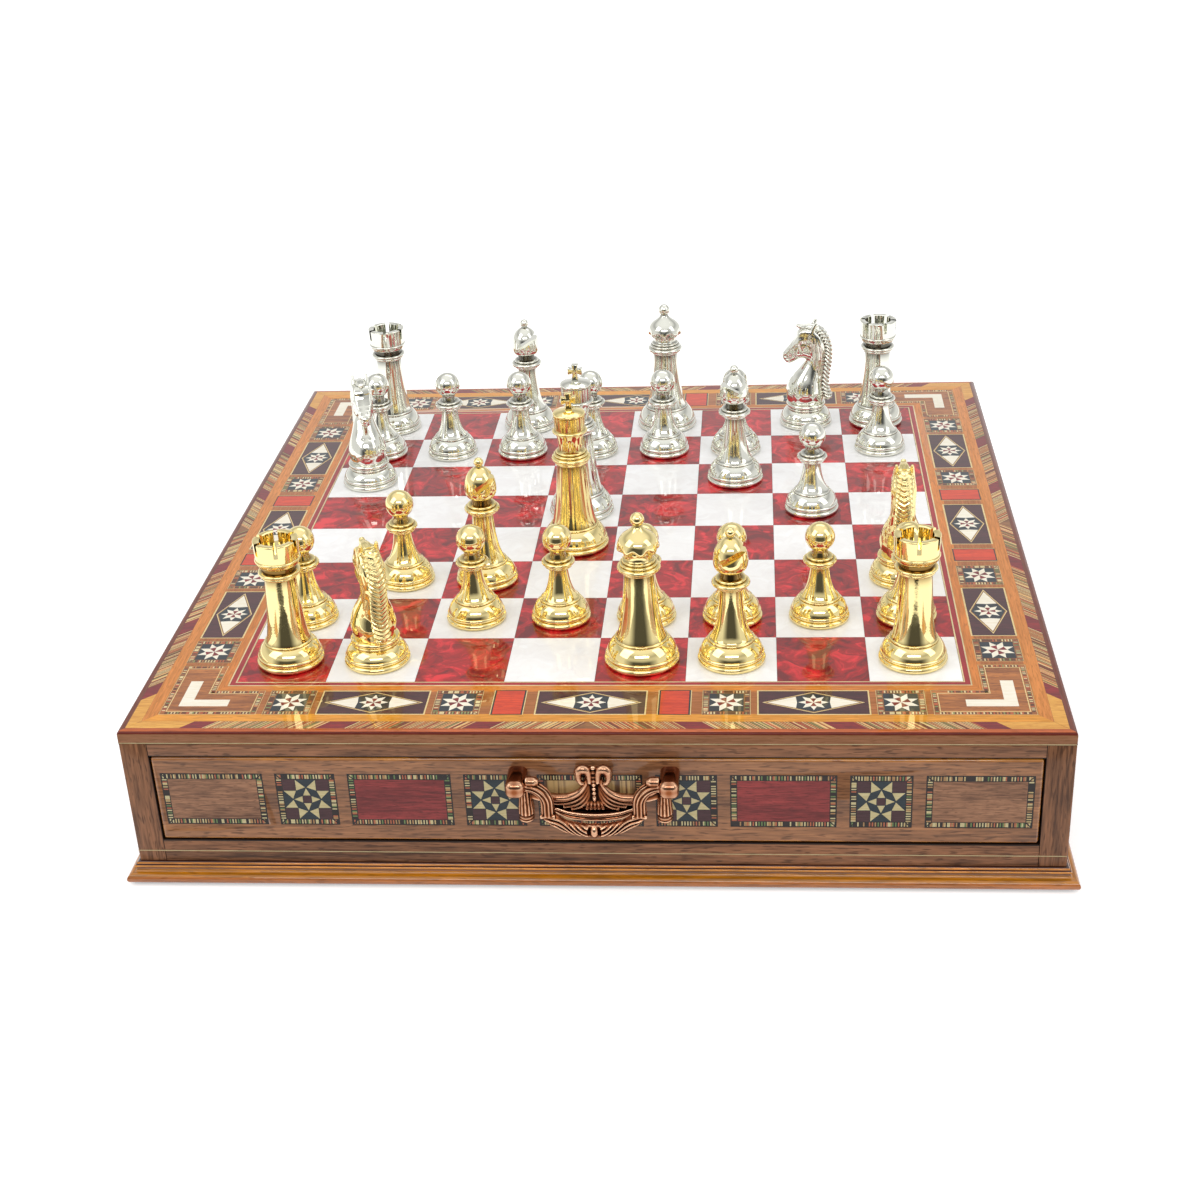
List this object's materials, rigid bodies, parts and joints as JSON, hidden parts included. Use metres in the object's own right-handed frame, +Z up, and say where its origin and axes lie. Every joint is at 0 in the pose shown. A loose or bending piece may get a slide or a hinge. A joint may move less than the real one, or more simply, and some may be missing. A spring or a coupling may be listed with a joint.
{
  "type": "chess box with drawers",
  "caption": "Low square chess box: inlaid lacquered board on a walnut case with moulded base, drawers with drop handles at front and back, turned metal chessmen.",
  "frame": {"origin": "middle of the underside, on the plane of the felt pads", "axes": "+X along the ranks to the right, +Y from the front player to the back player, +Z up"},
  "size_m": [0.411, 0.429, 0.1565],
  "materials": {
    "walnut": "satin lacquered walnut",
    "inner_wood": "sanded bare wood",
    "moulding": "glossy lacquered red-brown wood",
    "felt": "wool felt",
    "board_wood": "high gloss lacquered orange-brown wood",
    "white_pearl": "polished white pearl inlay",
    "red_pearl": "polished marbled crimson inlay",
    "star_inlay": "lacquered marquetry",
    "lozenge_inlay": "lacquered marquetry",
    "corner_inlay": "lacquered marquetry",
    "rope_inlay": "lacquered marquetry",
    "panel_inlay": "satin lacquered marquetry",
    "divider_wood": "stained bare wood",
    "antique_copper": "antique copper plating, rubbed bright on the edges",
    "screw_steel": "zinc plated",
    "gold_metal": "polished gold plating",
    "silver_metal": "polished silver plating"
  },
  "bodies": {
    "case": {"side_panels": "walnut", "case_bottom": "inner_wood", "cross_rails": "walnut", "centre_partition": "inner_wood", "drawer_runners": "inner_wood", "base_moulding": "moulding", "foot_pads": "felt", "top_board": "board_wood", "light_squares": "white_pearl", "dark_squares": "red_pearl", "star_tiles": "star_inlay", "lozenge_tiles": "lozenge_inlay", "corner_and_red_tiles": "corner_inlay", "rope_banding": "rope_inlay"},
    "front_drawer": {"front_drawer_face": "walnut", "front_drawer_inlay": "panel_inlay", "front_drawer_box": "inner_wood", "front_drawer_dividers": "divider_wood", "front_handle_plate": "antique_copper", "front_handle_screws": "screw_steel"},
    "front_bail": {"front_handle_bail": "antique_copper"},
    "back_drawer": {"back_drawer_face": "walnut", "back_drawer_inlay": "panel_inlay", "back_drawer_box": "inner_wood", "back_drawer_dividers": "divider_wood", "back_handle_plate": "antique_copper", "back_handle_screws": "screw_steel"},
    "back_bail": {"back_handle_bail": "antique_copper"},
    "gold_rook_1": {"gold_rook_1": "gold_metal"},
    "gold_rook_2": {"gold_rook_2": "gold_metal"},
    "gold_knight_1": {"gold_knight_1": "gold_metal"},
    "gold_knight_2": {"gold_knight_2": "gold_metal"},
    "gold_bishop_1": {"gold_bishop_1": "gold_metal"},
    "gold_bishop_2": {"gold_bishop_2": "gold_metal"},
    "gold_queen": {"gold_queen": "gold_metal"},
    "gold_king": {"gold_king": "gold_metal"},
    "gold_pawn_1": {"gold_pawn_1": "gold_metal"},
    "gold_pawn_2": {"gold_pawn_2": "gold_metal"},
    "gold_pawn_3": {"gold_pawn_3": "gold_metal"},
    "gold_pawn_4": {"gold_pawn_4": "gold_metal"},
    "gold_pawn_5": {"gold_pawn_5": "gold_metal"},
    "gold_pawn_6": {"gold_pawn_6": "gold_metal"},
    "gold_pawn_7": {"gold_pawn_7": "gold_metal"},
    "gold_pawn_8": {"gold_pawn_8": "gold_metal"},
    "silver_rook_1": {"silver_rook_1": "silver_metal"},
    "silver_rook_2": {"silver_rook_2": "silver_metal"},
    "silver_knight_1": {"silver_knight_1": "silver_metal"},
    "silver_knight_2": {"silver_knight_2": "silver_metal"},
    "silver_bishop_1": {"silver_bishop_1": "silver_metal"},
    "silver_bishop_2": {"silver_bishop_2": "silver_metal"},
    "silver_queen": {"silver_queen": "silver_metal"},
    "silver_king": {"silver_king": "silver_metal"},
    "silver_pawn_1": {"silver_pawn_1": "silver_metal"},
    "silver_pawn_2": {"silver_pawn_2": "silver_metal"},
    "silver_pawn_3": {"silver_pawn_3": "silver_metal"},
    "silver_pawn_4": {"silver_pawn_4": "silver_metal"},
    "silver_pawn_5": {"silver_pawn_5": "silver_metal"},
    "silver_pawn_6": {"silver_pawn_6": "silver_metal"},
    "silver_pawn_7": {"silver_pawn_7": "silver_metal"},
    "silver_pawn_8": {"silver_pawn_8": "silver_metal"}
  },
  "joints": [
    {"name": "front_drawer_slide", "type": "slide", "parent": "case", "child": "front_drawer", "axis": [0, -1, 0], "range_m": [0, 0.15]},
    {"name": "back_drawer_slide", "type": "slide", "parent": "case", "child": "back_drawer", "axis": [0, 1, 0], "range_m": [0, 0.15]},
    {"name": "front_bail_swing", "type": "hinge", "parent": "front_drawer", "child": "front_bail", "pos_m": [0.002, -0.209, 0.05555], "axis": [-1, 0, 0], "range_deg": [0, 90]},
    {"name": "back_bail_swing", "type": "hinge", "parent": "back_drawer", "child": "back_bail", "pos_m": [-0.002, 0.209, 0.05555], "axis": [1, 0, 0], "range_deg": [0, 90]},
    {"name": "gold_rook_1_lift", "type": "slide", "parent": "case", "child": "gold_rook_1", "axis": [0, 0, 1], "range_m": [0, 0.09]},
    {"name": "gold_rook_2_lift", "type": "slide", "parent": "case", "child": "gold_rook_2", "axis": [0, 0, 1], "range_m": [0, 0.09]},
    {"name": "gold_knight_1_lift", "type": "slide", "parent": "case", "child": "gold_knight_1", "axis": [0, 0, 1], "range_m": [0, 0.09]},
    {"name": "gold_knight_2_lift", "type": "slide", "parent": "case", "child": "gold_knight_2", "axis": [0, 0, 1], "range_m": [0, 0.09]},
    {"name": "gold_bishop_1_lift", "type": "slide", "parent": "case", "child": "gold_bishop_1", "axis": [0, 0, 1], "range_m": [0, 0.09]},
    {"name": "gold_bishop_2_lift", "type": "slide", "parent": "case", "child": "gold_bishop_2", "axis": [0, 0, 1], "range_m": [0, 0.09]},
    {"name": "gold_queen_lift", "type": "slide", "parent": "case", "child": "gold_queen", "axis": [0, 0, 1], "range_m": [0, 0.09]},
    {"name": "gold_king_lift", "type": "slide", "parent": "case", "child": "gold_king", "axis": [0, 0, 1], "range_m": [0, 0.09]},
    {"name": "gold_pawn_1_lift", "type": "slide", "parent": "case", "child": "gold_pawn_1", "axis": [0, 0, 1], "range_m": [0, 0.09]},
    {"name": "gold_pawn_2_lift", "type": "slide", "parent": "case", "child": "gold_pawn_2", "axis": [0, 0, 1], "range_m": [0, 0.09]},
    {"name": "gold_pawn_3_lift", "type": "slide", "parent": "case", "child": "gold_pawn_3", "axis": [0, 0, 1], "range_m": [0, 0.09]},
    {"name": "gold_pawn_4_lift", "type": "slide", "parent": "case", "child": "gold_pawn_4", "axis": [0, 0, 1], "range_m": [0, 0.09]},
    {"name": "gold_pawn_5_lift", "type": "slide", "parent": "case", "child": "gold_pawn_5", "axis": [0, 0, 1], "range_m": [0, 0.09]},
    {"name": "gold_pawn_6_lift", "type": "slide", "parent": "case", "child": "gold_pawn_6", "axis": [0, 0, 1], "range_m": [0, 0.09]},
    {"name": "gold_pawn_7_lift", "type": "slide", "parent": "case", "child": "gold_pawn_7", "axis": [0, 0, 1], "range_m": [0, 0.09]},
    {"name": "gold_pawn_8_lift", "type": "slide", "parent": "case", "child": "gold_pawn_8", "axis": [0, 0, 1], "range_m": [0, 0.09]},
    {"name": "silver_rook_1_lift", "type": "slide", "parent": "case", "child": "silver_rook_1", "axis": [0, 0, 1], "range_m": [0, 0.09]},
    {"name": "silver_rook_2_lift", "type": "slide", "parent": "case", "child": "silver_rook_2", "axis": [0, 0, 1], "range_m": [0, 0.09]},
    {"name": "silver_knight_1_lift", "type": "slide", "parent": "case", "child": "silver_knight_1", "axis": [0, 0, 1], "range_m": [0, 0.09]},
    {"name": "silver_knight_2_lift", "type": "slide", "parent": "case", "child": "silver_knight_2", "axis": [0, 0, 1], "range_m": [0, 0.09]},
    {"name": "silver_bishop_1_lift", "type": "slide", "parent": "case", "child": "silver_bishop_1", "axis": [0, 0, 1], "range_m": [0, 0.09]},
    {"name": "silver_bishop_2_lift", "type": "slide", "parent": "case", "child": "silver_bishop_2", "axis": [0, 0, 1], "range_m": [0, 0.09]},
    {"name": "silver_queen_lift", "type": "slide", "parent": "case", "child": "silver_queen", "axis": [0, 0, 1], "range_m": [0, 0.09]},
    {"name": "silver_king_lift", "type": "slide", "parent": "case", "child": "silver_king", "axis": [0, 0, 1], "range_m": [0, 0.09]},
    {"name": "silver_pawn_1_lift", "type": "slide", "parent": "case", "child": "silver_pawn_1", "axis": [0, 0, 1], "range_m": [0, 0.09]},
    {"name": "silver_pawn_2_lift", "type": "slide", "parent": "case", "child": "silver_pawn_2", "axis": [0, 0, 1], "range_m": [0, 0.09]},
    {"name": "silver_pawn_3_lift", "type": "slide", "parent": "case", "child": "silver_pawn_3", "axis": [0, 0, 1], "range_m": [0, 0.09]},
    {"name": "silver_pawn_4_lift", "type": "slide", "parent": "case", "child": "silver_pawn_4", "axis": [0, 0, 1], "range_m": [0, 0.09]},
    {"name": "silver_pawn_5_lift", "type": "slide", "parent": "case", "child": "silver_pawn_5", "axis": [0, 0, 1], "range_m": [0, 0.09]},
    {"name": "silver_pawn_6_lift", "type": "slide", "parent": "case", "child": "silver_pawn_6", "axis": [0, 0, 1], "range_m": [0, 0.09]},
    {"name": "silver_pawn_7_lift", "type": "slide", "parent": "case", "child": "silver_pawn_7", "axis": [0, 0, 1], "range_m": [0, 0.09]},
    {"name": "silver_pawn_8_lift", "type": "slide", "parent": "case", "child": "silver_pawn_8", "axis": [0, 0, 1], "range_m": [0, 0.09]}
  ]
}
